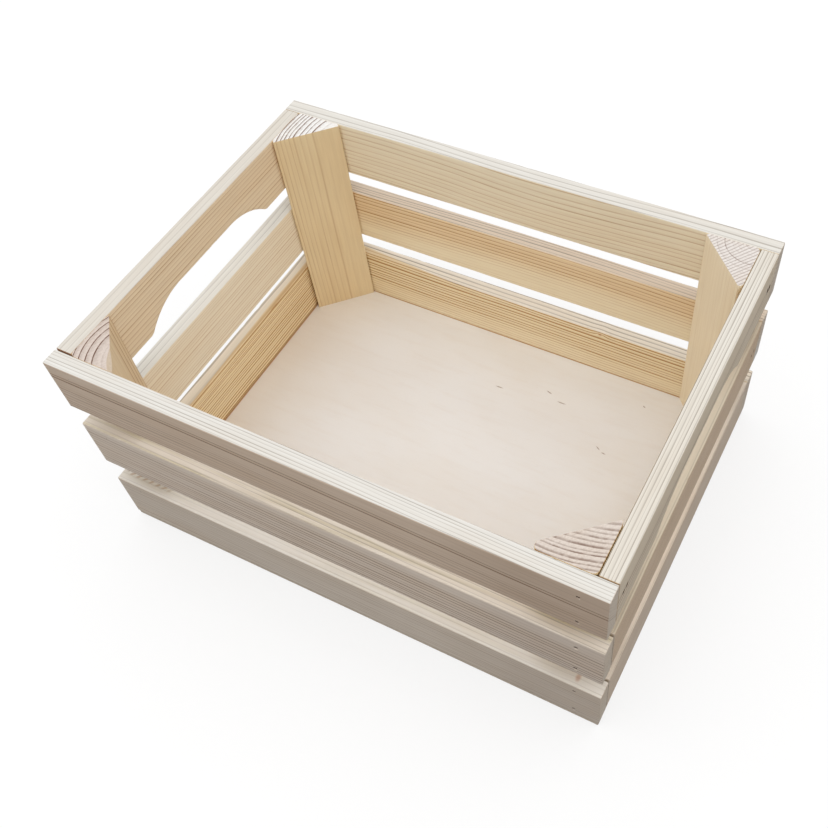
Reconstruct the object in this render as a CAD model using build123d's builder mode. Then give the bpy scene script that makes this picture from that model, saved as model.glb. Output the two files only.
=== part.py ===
from build123d import *
import os
from math import sqrt

# A slatted pine crate: three courses of slats nailed to triangular corner posts, over a plywood bottom.
# X runs along the crate's length, Y from front to back, Z up. The origin is under the crate's centre.
# All sizes are in millimetres.

os.makedirs("parts", exist_ok=True)

# Outside of the crate
crate_length = 400.0
crate_width = 298.0

# Slats
slat_width = 47.0
slat_thickness = 12.5
slat_arris = 0.8
upper_gap = 20.0
lower_gap = 23.0
butt_gap = 0.4

# Corner posts, planed square timber sawn from corner to corner
post_timber = 40.0
post_arris = 3.5
post_gap = 0.8

# Plywood bottom, nailed on under the slats
panel_thickness = 4.0
panel_inset = 0.5

# Hand-holds, cut upwards from the lower edge of the top slat at both ends
grip_straight = 62.0
grip_depth = 17.5
grip_radius = 57.0
grip_corner_radius = 5.0

# Wire brads with a small T head, sunk below the surface
brad_length = 22.0
brad_wire = 1.2
brad_thickness = 1.0
brad_head_width = 2.0
brad_head_height = 0.8
brad_point = 1.6
brad_sink = 0.6

# Where the brads go
side_brad_inset = 5.5
side_brad_spacing = 31.0
end_brad_inset = 11.0
end_brad_spacing = 5.0
panel_brad_inset = 40.0
panel_brads_along = 5
panel_brads_across = 3

# How far a cut runs past the surface that it opens
cut_past = 1.0

# Heights of the three courses, worked out from the bottom up
bottom_level = panel_thickness
middle_level = bottom_level + slat_width + lower_gap
top_level = middle_level + slat_width + upper_gap
rim_level = top_level + slat_width
courses = {"bottom": bottom_level, "middle": middle_level, "top": top_level}

# Faces that other pieces meet
half_length = crate_length / 2
half_width = crate_width / 2
inner_half_width = half_width - slat_thickness
post_face_x = half_length - slat_thickness - post_gap
end_slat_length = 2 * (inner_half_width - butt_gap)

sides = {"front": -1, "back": 1}
ends = {"left": -1, "right": 1}


def drive(origin, across, inward):
    """Plane for one brad: its X lies across the head, its Y points the way the brad is driven."""
    return Plane(origin=origin, x_dir=across, z_dir=Vector(*across).cross(Vector(*inward)))


def brad_outline(head_top):
    """Brad seen flat on, from the top of its head at the given depth down to its chisel point."""
    shoulder = brad_sink + brad_head_height
    tip = brad_sink + brad_length
    right = [
        (brad_head_width / 2, head_top),
        (brad_head_width / 2, shoulder),
        (brad_wire / 2, shoulder),
        (brad_wire / 2, tip - brad_point),
    ]
    left = [(-x, y) for x, y in reversed(right)]
    return right + [(0, tip)] + left


def pair(middle, spacing):
    """Places of the two brads at one end of a slat, on either side of a middle."""
    return (middle - spacing / 2, middle + spacing / 2)


def side_brad_sites(side, level, posts=(-1, 1)):
    """Brads through a long slat into its posts, one above the other."""
    x = post_face_x - side_brad_inset
    return [
        drive((post * x, side * half_width, z), (1, 0, 0), (0, -side, 0))
        for post in posts
        for z in pair(level + slat_width / 2, side_brad_spacing)
    ]


def end_brad_sites(end, level, posts=(-1, 1)):
    """Brads through a short slat into its posts, side by side at half its height."""
    z = level + slat_width / 2
    return [
        drive((end * half_length, post * y, z), (0, 1, 0), (-end, 0, 0))
        for post in posts
        for y in pair(inner_half_width - end_brad_inset, end_brad_spacing)
    ]


def spread(half_span, count):
    """Evenly spaced places over a span centred on zero."""
    return [half_span * (2 * i / (count - 1) - 1) for i in range(count)]


def panel_side_sites(side):
    """Brads up through the panel into a long bottom slat."""
    y = side * (half_width - slat_thickness / 2)
    places = spread(half_length - panel_brad_inset, panel_brads_along)
    return [drive((x, y, 0), (1, 0, 0), (0, 0, 1)) for x in places]


def panel_end_sites(end):
    """Brads up through the panel into a short bottom slat."""
    x = end * (half_length - slat_thickness / 2)
    places = spread(half_width - panel_brad_inset, panel_brads_across)
    return [drive((x, y, 0), (0, 1, 0), (0, 0, 1)) for y in places]


panel_sites = [site for side in sides.values() for site in panel_side_sites(side)]
panel_sites += [site for end in ends.values() for site in panel_end_sites(end)]

# Long slats run the whole length and cover the ends of the short ones
for side_name, side in sides.items():
    for course, level in courses.items():
        holes = side_brad_sites(side, level)
        if course == "bottom":
            holes += panel_side_sites(side)
        with BuildPart() as long_slat:
            with BuildSketch(Plane.YZ.offset(-half_length)):
                with Locations((side * (half_width - slat_thickness / 2), level + slat_width / 2)):
                    RectangleRounded(slat_thickness, slat_width, slat_arris)
            extrude(amount=crate_length)
            with BuildSketch(*holes):
                with BuildLine():
                    Polyline(*brad_outline(-cut_past), close=True)
                make_face()
            extrude(amount=brad_thickness / 2, both=True, mode=Mode.SUBTRACT)
        name = f"{side_name}_{course}_slat"
        long_slat.part.label = name
        export_step(long_slat.part, f"parts/{name}.step")

# Short slats stand between the long ones, and the top one at each end has a hand-hold
grip_half_width = grip_straight / 2 + sqrt(grip_radius**2 - (grip_radius - grip_depth) ** 2)
grip_top = top_level + grip_depth

for end_name, end in ends.items():
    for course, level in courses.items():
        holes = end_brad_sites(end, level)
        if course == "bottom":
            holes += panel_end_sites(end)
        with BuildPart() as end_slat:
            with BuildSketch(Plane.YZ.offset(end * (half_length - slat_thickness / 2))) as slat_face:
                with Locations((0, level + slat_width / 2)):
                    Rectangle(end_slat_length, slat_width)
                if course == "top":
                    with BuildLine():
                        Polyline(
                            (-grip_half_width, level),
                            (-grip_half_width, level - cut_past),
                            (grip_half_width, level - cut_past),
                            (grip_half_width, level),
                        )
                        RadiusArc((grip_half_width, level), (grip_straight / 2, grip_top), -grip_radius)
                        Line((grip_straight / 2, grip_top), (-grip_straight / 2, grip_top))
                        RadiusArc((-grip_straight / 2, grip_top), (-grip_half_width, level), -grip_radius)
                    make_face(mode=Mode.SUBTRACT)
                    grip_corners = slat_face.vertices().group_by(Axis.Y)[0].sort_by(Axis.X)[1:-1]
                    fillet(grip_corners, radius=grip_corner_radius)
            extrude(amount=slat_thickness / 2, both=True)
            arrises = end_slat.edges().filter_by(Axis.Y) + end_slat.edges().filter_by(GeomType.CIRCLE)
            fillet(arrises, radius=slat_arris)
            with BuildSketch(*holes):
                with BuildLine():
                    Polyline(*brad_outline(-cut_past), close=True)
                make_face()
            extrude(amount=brad_thickness / 2, both=True, mode=Mode.SUBTRACT)
        name = f"{end_name}_{course}_slat"
        end_slat.part.label = name
        export_step(end_slat.part, f"parts/{name}.step")

# Corner posts stand on the panel against the long slats, with their sawn face towards the inside
for side_name, side in sides.items():
    for end_name, end in ends.items():
        corner_x = end * post_face_x
        corner_y = side * inner_half_width
        far_x = corner_x - end * post_timber
        far_y = corner_y - side * post_timber
        holes = []
        for level in courses.values():
            holes += side_brad_sites(side, level, posts=(end,))
            holes += end_brad_sites(end, level, posts=(side,))
        with BuildPart() as post:
            with BuildSketch(Plane.XY.offset(panel_thickness)):
                with Locations(((corner_x + far_x) / 2, (corner_y + far_y) / 2)):
                    RectangleRounded(post_timber, post_timber, post_arris)
                Polygon((far_x, corner_y), (far_x, far_y), (corner_x, far_y), align=None, mode=Mode.SUBTRACT)
            extrude(amount=rim_level - panel_thickness)
            with BuildSketch(*holes):
                with BuildLine():
                    Polyline(*brad_outline(-cut_past), close=True)
                make_face()
            extrude(amount=brad_thickness / 2, both=True, mode=Mode.SUBTRACT)
        name = f"{side_name}_{end_name}_post"
        post.part.label = name
        export_step(post.part, f"parts/{name}.step")

# Plywood bottom
with BuildPart() as bottom_panel:
    with BuildSketch():
        Rectangle(crate_length - 2 * panel_inset, crate_width - 2 * panel_inset)
    extrude(amount=panel_thickness)
    with BuildSketch(*panel_sites):
        with BuildLine():
            Polyline(*brad_outline(-cut_past), close=True)
        make_face()
    extrude(amount=brad_thickness / 2, both=True, mode=Mode.SUBTRACT)
bottom_panel.part.label = "bottom_panel"
export_step(bottom_panel.part, "parts/bottom_panel.step")

# Brads, one group for each face that they are driven into
brad_groups = {"bottom_brads": panel_sites}
for side_name, side in sides.items():
    brad_groups[f"{side_name}_brads"] = [
        site for level in courses.values() for site in side_brad_sites(side, level)
    ]
for end_name, end in ends.items():
    brad_groups[f"{end_name}_brads"] = [
        site for level in courses.values() for site in end_brad_sites(end, level)
    ]

for name, sites in brad_groups.items():
    with BuildPart() as brads:
        with BuildSketch(*sites):
            with BuildLine():
                Polyline(*brad_outline(brad_sink), close=True)
            make_face()
        extrude(amount=brad_thickness / 2, both=True)
    brads.part.label = name
    export_step(brads.part, f"parts/{name}.step")
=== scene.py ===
import math
import random
from typing import NamedTuple

import bmesh
import bpy
from bpy.props import FloatProperty, FloatVectorProperty, IntProperty, PointerProperty
from mathutils import Euler, Matrix, Vector, noise


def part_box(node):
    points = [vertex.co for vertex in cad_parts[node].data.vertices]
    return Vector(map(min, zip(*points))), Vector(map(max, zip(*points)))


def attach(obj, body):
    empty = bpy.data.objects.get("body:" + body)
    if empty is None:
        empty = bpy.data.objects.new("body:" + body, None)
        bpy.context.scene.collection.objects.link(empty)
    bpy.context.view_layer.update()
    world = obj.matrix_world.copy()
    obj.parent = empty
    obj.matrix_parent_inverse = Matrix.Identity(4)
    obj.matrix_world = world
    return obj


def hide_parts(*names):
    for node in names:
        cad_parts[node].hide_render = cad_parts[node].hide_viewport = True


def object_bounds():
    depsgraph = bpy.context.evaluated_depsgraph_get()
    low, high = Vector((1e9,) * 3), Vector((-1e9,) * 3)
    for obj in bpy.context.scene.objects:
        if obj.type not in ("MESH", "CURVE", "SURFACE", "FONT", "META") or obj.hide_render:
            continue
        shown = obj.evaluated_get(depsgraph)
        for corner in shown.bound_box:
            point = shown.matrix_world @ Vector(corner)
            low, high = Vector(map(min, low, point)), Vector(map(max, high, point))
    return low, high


bl_info = {
    "name": "Slatted Pine Crate",
    "version": (1, 0, 0),
    "blender": (4, 5, 0),
    "location": "3D View > Sidebar > Crate",
    "description": "Dresses a slatted pine crate: planed slats, sawn posts, plywood bottom and wire brads",
    "category": "Add Mesh",
}

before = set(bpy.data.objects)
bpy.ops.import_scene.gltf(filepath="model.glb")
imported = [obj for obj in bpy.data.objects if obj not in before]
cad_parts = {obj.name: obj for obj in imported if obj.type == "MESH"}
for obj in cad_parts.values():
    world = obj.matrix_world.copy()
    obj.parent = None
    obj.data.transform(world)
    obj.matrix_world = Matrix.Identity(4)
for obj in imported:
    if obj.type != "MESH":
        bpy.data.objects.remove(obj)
cad_low, cad_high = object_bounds()

MM = 0.001
COURSES = ("top", "middle", "bottom")
LONG_SIDES = ("front", "back")
ENDS = ("left", "right")
OUTWARD_TURN = {"front": 180, "back": 0, "left": 90, "right": -90}

# First seed of each group of boards, so that every board wears in its own way
LONG_SLAT_SEED = 11
END_SLAT_SEED = 31
POST_SEED = 51
PANEL_SEED = 71
TUFT_SEED = 500

# Mesh steps: along an arris, along the flats of a section, and along the panel
ROUND_STEPS = 4
SLAT_FILLS = (9, 3, 9, 3)
PANEL_FILLS = (3, 30, 3, 30)
POST_FILLS = (12, 12, 12, 12)
SAWN_FILL = 18
PANEL_STEPS = 40
PIT_CORNERS = 12
CHIP_SEGMENTS = 192
SHARP_ANGLE = math.radians(35)


def metres(lengths):
    """Lengths in metres, from millimetres."""
    return [length * MM for length in lengths]


def shade(red, green, blue):
    """Colour written as screen values from 0 to 255, as the linear values that Blender takes."""
    screen = [value / 255 for value in (red, green, blue)]
    return tuple(v / 12.92 if v <= 0.04045 else ((v + 0.055) / 1.055) ** 2.4 for v in screen)


def opaque(colour):
    """Colour with full alpha, for a colour socket."""
    return (*colour, 1.0)


def tinted(colour, tint):
    """Colour with each channel scaled, for a colour socket."""
    return opaque([a * b for a, b in zip(colour, tint)])


def size_property(name, description, millimetres):
    """Property for a length, with its default in millimetres."""
    return FloatProperty(name=name, description=description, default=millimetres * MM, unit="LENGTH")


def share_property(name, description, default):
    """Property for a share from 0 to 1."""
    return FloatProperty(name=name, description=description, default=default, subtype="FACTOR")


def colour_property(name, description, *screen):
    """Property for a colour, with its default in screen values."""
    return FloatVectorProperty(name=name, description=description, default=shade(*screen), subtype="COLOR")


class CrateShape(bpy.types.PropertyGroup):
    """Sizes of the worked details that the boards carry."""

    arris: size_property("Arris", "Rounding along the planed edges of a slat", 0.8)
    arris_wear: share_property("Arris wear", "How unevenly the arrises are rounded", 0.35)
    saw_edge: size_property("Saw edge", "Broken edge round a sawn end", 0.3)
    slat_step: size_property("Slat step", "Length of one mesh step along a slat", 2.5)
    nicks: IntProperty(name="Nicks", description="Small dents along the arrises of a slat", default=7)
    grip_straight: size_property("Grip straight", "Level stretch of the hand-hold", 62)
    grip_depth: size_property("Grip depth", "Depth of the hand-hold", 17.5)
    grip_radius: size_property("Grip radius", "Arch at each end of the hand-hold", 57)
    grip_corner: size_property("Grip corner", "Rounding where the hand-hold meets the lower edge", 5)
    post_arris: size_property("Post arris", "Rounding of the planed corners of a post", 3.5)
    pit_margin: size_property("Pit margin", "How far the torn mouth of a brad hole passes the head", 0.45)


class CrateFinish(bpy.types.PropertyGroup):
    """Colours of the bare wood and the steel, some with painted light and shade in them."""

    # Outer, inner and edge colours are lit and shaded copies of one pine: painted cool shade outside, painted
    # warm bounce light inside, edges paler partly as their own look, partly as a painted highlight
    outside_pale: colour_property("Outside pale", "Earlywood on the outer faces of slats", 238, 223, 207)
    outside_dark: colour_property("Outside dark", "Latewood on the outer faces of slats", 160, 130, 104)
    inside_pale: colour_property("Inside pale", "Earlywood on the inner faces of slats", 244, 228, 196)
    inside_dark: colour_property("Inside dark", "Latewood on the inner faces of slats", 184, 137, 78)
    edge_pale: colour_property("Edge pale", "Earlywood on the narrow edges of slats", 237, 233, 225)
    edge_dark: colour_property("Edge dark", "Latewood on the narrow edges of slats", 140, 127, 112)
    slat_end_pale: colour_property("Slat end pale", "Earlywood on the sawn ends of slats", 226, 214, 199)
    slat_end_dark: colour_property("Slat end dark", "Latewood on the sawn ends of slats", 192, 177, 160)
    post_pale: colour_property("Post pale", "Earlywood on the sides of posts", 240, 220, 178)
    post_dark: colour_property("Post dark", "Latewood on the sides of posts", 186, 140, 84)
    post_end_pale: colour_property("Post end pale", "Earlywood on the sawn ends of posts", 238, 231, 224)
    post_end_dark: colour_property("Post end dark", "Latewood on the sawn ends of posts", 120, 88, 70)
    resin: colour_property("Resin", "Yellow resin streaks", 200, 186, 140)
    knot: colour_property("Knot", "Eye of a small knot", 180, 112, 60)
    plywood: colour_property("Plywood", "Face veneer of the bottom", 240, 238, 237)
    # Pit colour: partly crushed wood, partly painted shade deep inside the brad pits
    bruise: colour_property("Bruise", "Crushed wood inside a brad pit", 74, 52, 37)
    # The brads' steel is a dark brown-grey painted shade, for heads that sit sunk in the shade of their pits
    steel: colour_property("Brad steel", "Dull wire of the brads", 60, 46, 36)


class CrateStage(bpy.types.PropertyGroup):
    """Camera and soft studio light."""

    eye: FloatVectorProperty(
        name="Camera place",
        description="Where the camera stands",
        default=(0.27381, -0.37561, 0.67259),
        unit="LENGTH",
    )
    aim: FloatVectorProperty(
        name="Camera turn",
        description="How the camera is turned",
        default=tuple(math.radians(angle) for angle in (34.978, 3.292, 27.246)),
        subtype="EULER",
    )
    lens: FloatProperty(name="Lens", description="Focal length in millimetres", default=43.48)
    shift: FloatVectorProperty(
        name="Lens shift", description="Framing of the picture", size=2, default=(-0.08706, 0.0397)
    )
    overhead: FloatProperty(
        name="Overhead light", description="Strength of the light from straight above", default=1.485
    )
    room: FloatProperty(
        name="Room light", description="Strength of the light from low down all round", default=0.33
    )
    floor_bounce: share_property("Floor bounce", "Share of light that the floor throws back", 0.04)
    floor_shadow: share_property("Floor shadow", "How plainly the crate's shadow shows", 0.3)


class Knot(NamedTuple):
    """A small knot. Lengths are in millimetres."""

    along: float
    aside: float  # upwards, or outwards if the knot is upright
    radius: float
    depth: float = 1.0  # how dark its eye is
    upright: bool = False  # whether it runs up through the board


class Figure(NamedTuple):
    """How growth rings run through one board, and how the board is cut. Lengths are in millimetres."""

    pith: tuple  # heart of the tree, from the middle of the section: outwards, up; in a post along, across
    ring: float  # width of one year's growth, 30 mm from the pith
    line: float = 0.2  # share of a year's growth that is dark latewood
    lean: tuple = (0.0, 0.0)  # drift of the pith along the board: outwards, upwards, per unit of length
    dip: tuple = (0.0, 100.0, 0.0)  # where along the board the rings dip, over what length and how deep
    narrowing: float = 0.0  # how fast the rings get narrower away from the pith
    uneven: float = 0.5  # how much the years differ in width and darkness
    wave: float = 0.8  # how far the rings waver
    wave_length: float = 160.0
    contrast: float = 1.0  # of the faces
    trim_contrast: float = 1.0  # of the edges and ends
    fade: float = 0.0  # how fast the lines fade towards the board's own +X end, per metre
    sapwood: float = 900.0  # distance from the pith beyond which the wood is paler, with faint lines
    sap_tint: tuple = (1.02, 1.07, 1.18)  # of the wood beyond that distance
    calm: tuple = (0.0, 0.0)  # distances from the pith between which the lines on faces and ends are faint
    bold: float = 0.0  # distance from the pith at which lines are very dark
    tint: tuple = (1.0, 1.0, 1.0)  # of the faces
    trim_tint: tuple = (1.0, 1.0, 1.0)  # of a slat's edges or a post's ends; values above 1 on lower slats' edges are painted light
    far_tint: tuple = (1.0, 1.0, 1.0)  # painted shade on a slat's faces near its -X end
    end_tint: tuple = (1.0, 1.0, 1.0)  # painted shade on a slat's sawn ends, which show only in the narrow gaps at the corners
    heart_edge: float = -900.0  # place across a slat's edges, outwards, inside which they take a darker, yellow-orange band
    heart_slant: float = 0.0  # how fast that place moves outwards along the slat
    resin: float = 0.0  # share of resin streaks on a slat's edges
    saw_marks: float = 0.3  # how plainly the saw's teeth show on the ends
    knot: Knot = Knot(0.0, 900.0, 2.0)
    chatter: tuple = ()  # stretch of a slat's upper edge that the planer left rippled
    short: tuple = (0.0, 0.0)  # how much a slat's -X end and +X end fall short
    pits: tuple = (1.0, 1.0)  # how wide the brad pits at a slat's -X end and +X end have torn
    legs: tuple = (40.0, 40.0)  # of a post's section: along the crate, across the crate
    nudge: tuple = (0.0, 0.0)  # how far a slat stands outwards and up, or a post to the end and long slats
    chip: tuple = ()  # middle and radius of the arc along which a post's top is chipped


SLAT_FIGURES = {
    "front_top_slat": Figure(
        pith=(-117, 91.1), ring=2.12, line=0.24, dip=(-200, 300, 7), wave=0.6, calm=(130, 155), bold=146.9,
        contrast=1.1, trim_contrast=0.65, tint=(0.94, 0.88, 0.82), trim_tint=(0.955, 0.97, 0.99),
        far_tint=(0.82, 0.8, 0.79), pits=(0.85, 0.3),
    ),
    "front_middle_slat": Figure(
        pith=(-105, 104), ring=2.6, line=0.24, lean=(0, 0.02), wave=0.6, calm=(120, 144), contrast=1.8,
        trim_contrast=0.75, fade=3, resin=0.5, tint=(1.05, 1.06, 1.07), trim_tint=(1.06, 0.99, 0.925),
        far_tint=(0.9, 0.9, 0.91), pits=(1, 0.3),
    ),
    "front_bottom_slat": Figure(
        pith=(-72, -69), ring=2.4, contrast=0.6, trim_contrast=0.35, resin=0.2, chatter=(153, 198),
        knot=Knot(-181, -0.6, 2.2, 0.5, True), tint=(0.93, 0.945, 0.945), trim_tint=(1.03, 1.02, 1.02),
        far_tint=(0.88, 0.87, 0.87), pits=(0.8, 0.3),
    ),
    "back_top_slat": Figure(
        pith=(23.75, 44), ring=3.5, wave=1.4, wave_length=130, dip=(20, 135, 5), contrast=0.75,
        trim_contrast=0.8, tint=(1.06, 1.12, 1.22), trim_tint=(0.94, 0.95, 0.96), far_tint=(0.98, 0.97, 0.95),
    ),
    "back_middle_slat": Figure(
        pith=(83.75, 86.5), ring=2.3, uneven=0.4, wave=1.0, dip=(40, 190, -4), sapwood=127, contrast=1.45,
        trim_contrast=0.9, tint=(1.04, 0.98, 0.91), trim_tint=(1.04, 0.92, 0.81),
        far_tint=(0.94, 0.9, 0.84), sap_tint=(1.06, 1.17, 1.3),
    ),
    "back_bottom_slat": Figure(
        pith=(77.4, 94.9), ring=2.45, line=0.3, uneven=0.45, wave=1.2, lean=(0, -0.01), sapwood=131,
        contrast=2.0, trim_contrast=1.1, knot=Knot(75, 20.5, 0.9), tint=(1.1, 1.125, 1.11),
        trim_tint=(1.1, 1.04, 0.96), far_tint=(0.95, 0.92, 0.85), sap_tint=(1.0, 1.0, 1.03),
        heart_edge=-13.0, heart_slant=-0.095,
    ),
    "left_top_slat": Figure(
        pith=(100, -130), ring=2.8, uneven=0.35, wave=1.2, contrast=0.8, trim_contrast=0.3,
        tint=(1.0, 0.98, 1.01), trim_tint=(0.88, 0.87, 0.855), end_tint=(0.46, 0.3, 0.22), short=(0.6, 0),
    ),
    "left_middle_slat": Figure(
        pith=(80, -150), ring=2.6, wave=1.2, contrast=0.65, trim_contrast=0.55, tint=(1.08, 1.14, 1.29),
        trim_tint=(1.04, 1.05, 1.05), nudge=(0, -1.7),
    ),
    "left_bottom_slat": Figure(
        pith=(29.85, -56.1), ring=2.28, line=0.3, wave=1.2, contrast=1.7, tint=(1.1, 1.09, 1.03),
        trim_tint=(1.05, 0.96, 0.84), heart_edge=-2.9, heart_slant=0.012, nudge=(1.3, 0.8),
    ),
    "right_top_slat": Figure(
        pith=(-70, 20), ring=2.3, line=0.22, uneven=0.8, contrast=1.5, trim_contrast=1.1,
        tint=(0.84, 0.83, 0.75), trim_tint=(0.95, 0.94, 0.92), end_tint=(0.85, 0.72, 0.55), pits=(5.5, 3.6),
    ),
    "right_middle_slat": Figure(
        pith=(-60, -60), ring=2.4, contrast=0.8, trim_contrast=0.6, tint=(0.77, 0.68, 0.56),
        trim_tint=(0.85, 0.77, 0.65), far_tint=(0.94, 0.91, 0.86), short=(0, 1.3), pits=(2.6, 0.4),
    ),
    "right_bottom_slat": Figure(
        pith=(-80, 60), ring=2.6, contrast=0.15, trim_contrast=0.6, tint=(0.75, 0.7, 0.64),
        trim_tint=(0.99, 0.9, 0.82), short=(0, 1.0), pits=(0.4, 0.4),
    ),
}
POST_FIGURES = {
    "front_left_post": Figure(
        pith=(26, 0), ring=6.25, line=0.17, narrowing=1.0, uneven=0.1, wave=0.4, calm=(10, 30), contrast=1.3,
        trim_contrast=1.35, tint=(0.91, 0.905, 1.0), trim_tint=(0.85, 0.795, 0.77), legs=(34.5, 40.2),
        nudge=(0.6, 0), chip=(37.8, 9.7, 38.8),
    ),
    "front_right_post": Figure(
        pith=(-16.7, 109.5), ring=12.1, line=0.4, narrowing=1.0, uneven=0.45, wave=1.0, trim_contrast=0.8,
        trim_tint=(0.885, 0.845, 0.815), legs=(45.3, 39.2), nudge=(0.15, 0),
    ),
    "back_left_post": Figure(
        pith=(55, 4.5), ring=7.2, line=0.22, narrowing=1.0, uneven=0.6, wave=0.9, calm=(20, 50.5),
        contrast=0.5, trim_contrast=2.3, tint=(1.03, 1.02, 1.03), trim_tint=(1.1, 1.18, 1.25),
        legs=(40.3, 40.9), nudge=(0.7, -0.05),
    ),
    "back_right_post": Figure(
        pith=(15.5, 24), ring=4.5, line=0.14, uneven=0.6, wave=0.6, contrast=0.28, trim_contrast=0.4,
        bold=23.2, saw_marks=2.0, tint=(1.1, 1.17, 1.4), trim_tint=(0.97, 0.98, 1.0), legs=(39.6, 42.0),
        nudge=(0.7, 0),
    ),
}

# Grain of bare pine, as specks to the metre along the board and across it both ways
STREAKS = (9.0, 220.0, 220.0)
FIBRES = (30.0, 800.0, 800.0)
TONES = (5.0, 38.0, 38.0)
GRIT = (200.0, 800.0, 800.0)
SAW_TEETH = (0.0, 2010.0, -1510.0)

# What bare pine is scaled by where it is warmer, hairy or gritty
WARM_TINT = (0.93, 0.86, 0.78)
HAIR_TINT = (0.8, 0.74, 0.68)
GRIT_TINT = (0.72, 0.66, 0.62)

# Places and widths on the boards
RING_RADIUS = 30 * MM
WAVE_ACROSS = 28 * MM
SAP_BLUR = 9 * MM
BOLD_REACH = (1.2 * MM, 1.6 * MM)
CALM_BLUR = (1 * MM, 3 * MM)
BAND_WOBBLE = 8 * MM
BAND_BLUR = 0.6 * MM
# Stretch towards a slat's -X end over which painted shade darkens its faces
FAR_STRETCH = (-165 * MM, -70 * MM)
PIT_REACH = (6.5 * MM, 7.0 * MM)
PIT_DEPTH = (0.01 * MM, 0.08 * MM)
PIT_FLOOR = (2 * MM, 3 * MM)
CHATTER_PITCH = 6 * MM
CHATTER_BLUR = 4 * MM
CHATTER_DEPTH = (0.3 * MM, 0.6 * MM)
CHATTER_MIDDLE = (-1.0 * MM, 1.5 * MM)

# Relief of the finishes, and how glossy bare wood is
PINE_RELIEF = 0.06 * MM
PLYWOOD_RELIEF = 0.03 * MM
STEEL_RELIEF = 0.02 * MM
WOOD_GLOSS = 0.3


class NodeSheet:
    """Adds nodes to a node tree and links them, so that a shader reads as a list of steps."""

    def __init__(self, tree):
        self.tree = tree

    def add(self, kind, **settings):
        node = self.tree.nodes.new(kind)
        for key, value in settings.items():
            setattr(node, key, value)
        return node

    def feed(self, socket, source):
        """Links an output to a socket, or sets the socket to a plain value."""
        if isinstance(source, bpy.types.NodeSocket):
            self.tree.links.new(source, socket)
        else:
            socket.default_value = source

    def fill(self, node, *sources):
        """Feeds a node's first inputs in order, and gives its first output."""
        for socket, source in zip(node.inputs, sources):
            self.feed(socket, source)
        return node.outputs[0]

    def math(self, operation, *sources, clamp=False):
        return self.fill(self.add("ShaderNodeMath", operation=operation, use_clamp=clamp), *sources)

    def times(self, first, *others):
        for other in others:
            first = self.math("MULTIPLY", first, other)
        return first

    def plus(self, first, second):
        return self.math("ADD", first, second)

    def minus(self, first, second):
        return self.math("SUBTRACT", first, second)

    def absolute(self, value):
        return self.math("ABSOLUTE", value)

    def most(self, first, *others):
        for other in others:
            first = self.math("MAXIMUM", first, other)
        return first

    def rest(self, share):
        """What a share leaves of 1."""
        return self.math("SUBTRACT", 1.0, share, clamp=True)

    def vector(self, operation, first, second=None):
        node = self.add("ShaderNodeVectorMath", operation=operation)
        self.feed(node.inputs[0], first)
        if second is not None:
            self.feed(node.inputs["Scale" if operation == "SCALE" else 1], second)
        return node.outputs["Value" if operation in ("LENGTH", "DOT_PRODUCT") else "Vector"]

    def split(self, vector):
        node = self.add("ShaderNodeSeparateXYZ")
        self.feed(node.inputs[0], vector)
        return node.outputs

    def join(self, x, y, z):
        return self.fill(self.add("ShaderNodeCombineXYZ"), x, y, z)

    def noise(self, vector, detail=2.0, roughness=0.5):
        node = self.add("ShaderNodeTexNoise", noise_dimensions="3D")
        self.feed(node.inputs["Vector"], vector)
        node.inputs["Scale"].default_value = 1.0
        node.inputs["Detail"].default_value = detail
        node.inputs["Roughness"].default_value = roughness
        return node.outputs

    def grain(self, place, specks, detail=2.0, roughness=0.5):
        """Noise from 0 to 1 with so many specks to the metre along each axis."""
        return self.noise(self.vector("MULTIPLY", place, specks), detail, roughness)["Fac"]

    def line_noise(self, place, detail=1.0):
        node = self.add("ShaderNodeTexNoise", noise_dimensions="1D")
        self.feed(node.inputs["W"], place)
        node.inputs["Scale"].default_value = 1.0
        node.inputs["Detail"].default_value = detail
        return node.outputs[0]

    def span(self, value, low, high, to_low=0.0, to_high=1.0):
        """Smooth step from one value to another."""
        node = self.add("ShaderNodeMapRange", interpolation_type="SMOOTHSTEP")
        return self.fill(node, value, low, high, to_low, to_high)

    def fall(self, value, low, high):
        """Smooth step down from 1 to 0."""
        return self.span(value, low, high, 1.0, 0.0)

    def mix(self, share, first, second, blend="MIX"):
        node = self.add("ShaderNodeMix", data_type="RGBA", blend_type=blend)
        self.feed(node.inputs[0], share)
        self.feed(node.inputs[6], first)
        self.feed(node.inputs[7], second)
        return node.outputs[2]

    def dye(self, share, colour, tint):
        """Colour with its channels scaled by a tint, over a share of the surface."""
        return self.mix(share, colour, tint, blend="MULTIPLY")

    def group(self, build, **values):
        """Places a node group, built at first need, with its inputs named in words joined by underscores."""
        name = build.__name__.replace("_", " ").capitalize()
        tree = bpy.data.node_groups.get(name) or build(name)
        node = self.add("ShaderNodeGroup", node_tree=tree)
        for key, value in values.items():
            self.feed(node.inputs[key.replace("_", " ").capitalize()], value)
        return node.outputs


def new_sheet(owner):
    """Empty node sheet of a material or a world."""
    owner.use_nodes = True
    owner.node_tree.nodes.clear()
    return NodeSheet(owner.node_tree)


SOCKETS = {"float": "NodeSocketFloat", "vector": "NodeSocketVector", "colour": "NodeSocketColor"}
RING_MASKS = ("Latewood", "Calm", "Sap", "Fibre", "Tone", "Streak")
BOARD_PARTS = ("Outside", "Inside", "Edge", "End")
SEASONS = ("pale", "dark")


def new_group(name, inputs, outputs):
    """Empty shader group with named sockets: its sheet, its input sockets and its output sockets."""
    tree = bpy.data.node_groups.new(name, "ShaderNodeTree")
    for in_out, sockets in (("INPUT", inputs), ("OUTPUT", outputs)):
        for kind, labels in sockets.items():
            for label in labels:
                tree.interface.new_socket(label, in_out=in_out, socket_type=SOCKETS[kind])
    sheet = NodeSheet(tree)
    return sheet, sheet.add("NodeGroupInput").outputs, sheet.add("NodeGroupOutput").inputs


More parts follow.
